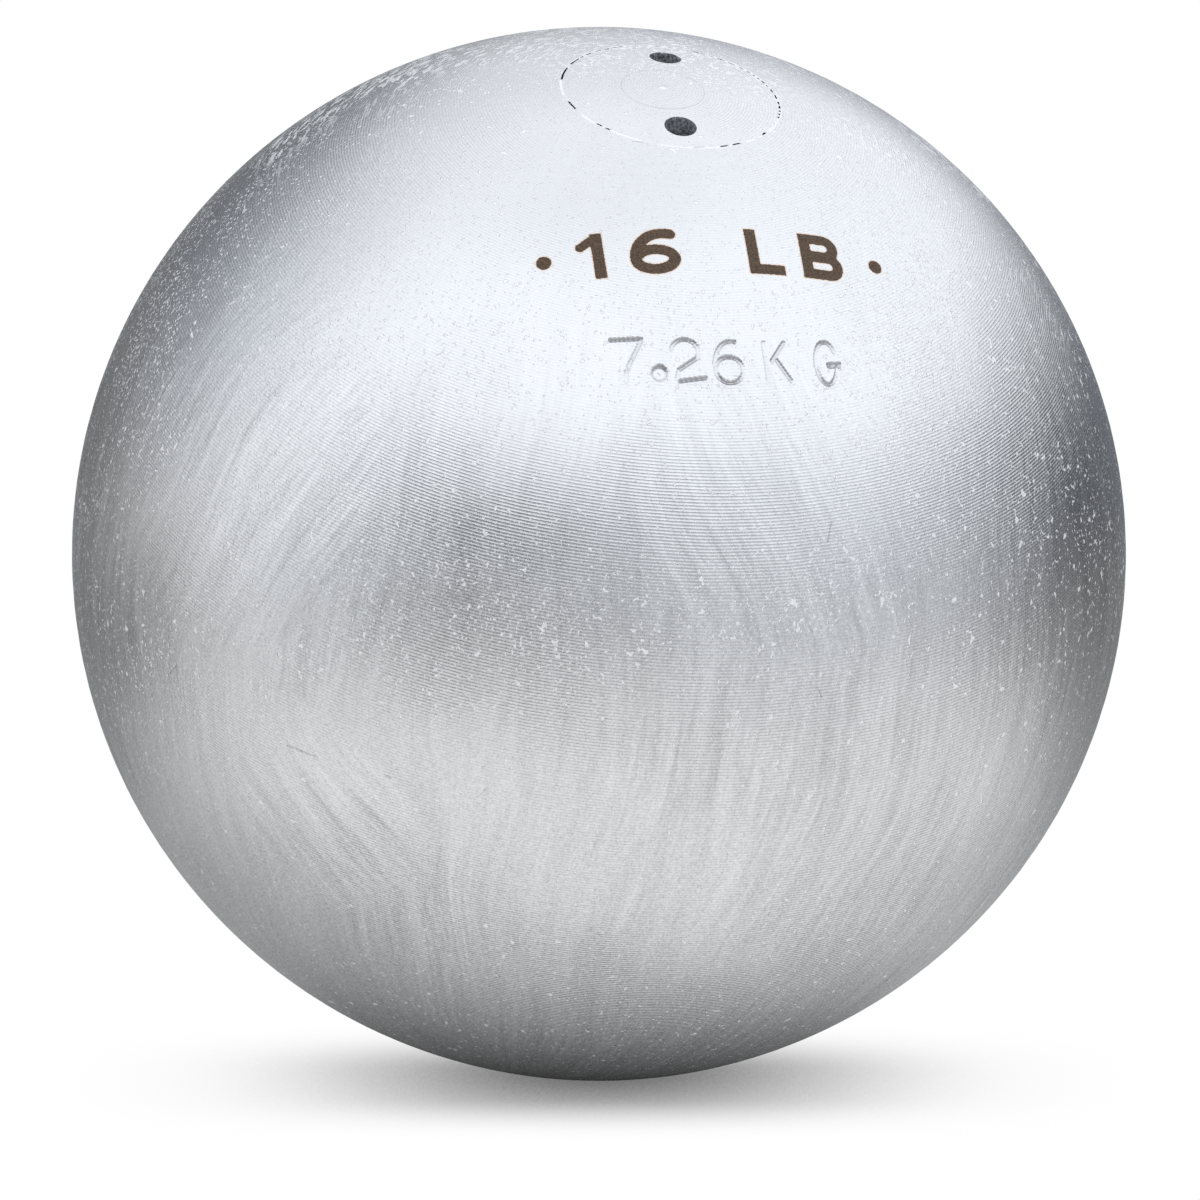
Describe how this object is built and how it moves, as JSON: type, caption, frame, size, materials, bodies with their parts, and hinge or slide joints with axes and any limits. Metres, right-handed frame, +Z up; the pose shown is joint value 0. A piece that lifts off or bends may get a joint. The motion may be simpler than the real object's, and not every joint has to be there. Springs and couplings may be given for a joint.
{
  "type": "shot put",
  "caption": "Turned iron ball for putting, with a flush screwed plug over a ballast chamber that sets its weight.",
  "frame": {"origin": "centre of the ball", "axes": "+Z up as the ball stands, the front towards -Y; the screw plug's axis leans 25.5 degrees from +Z, towards a direction 18 degrees from -Y to +X"},
  "size_m": [0.125, 0.125, 0.125],
  "materials": {
    "turned_iron": "fine turned, bright",
    "plug_steel": "fine turned, bright",
    "washer_brass": "machined",
    "packing_rubber": "moulded",
    "dowel_beech": "turned, bare",
    "ballast_lead": "cast lead, dull"
  },
  "bodies": {
    "ball": {"ball_casting": "turned_iron", "packing_pad": "packing_rubber", "spacer_dowel": "dowel_beech", "trim_disc_1": "ballast_lead", "trim_disc_2": "ballast_lead", "lead_slug": "ballast_lead"},
    "washer": {"thrust_washer": "washer_brass"},
    "plug": {"screw_plug": "plug_steel"}
  },
  "joints": [
    {"name": "plug_travel", "type": "slide", "parent": "ball", "child": "washer", "axis": [0.133, -0.4094, 0.9026], "range_m": [0, 0.015]},
    {"name": "plug_turn", "type": "hinge", "parent": "washer", "child": "plug", "pos_m": [0, 0, 0], "axis": [0.133, -0.4094, 0.9026], "range_deg": [0, 3600]}
  ],
  "couplings": [
    {"joint": "plug_travel", "follows": "plug_turn", "m_per_rad": 0.00023873}
  ]
}
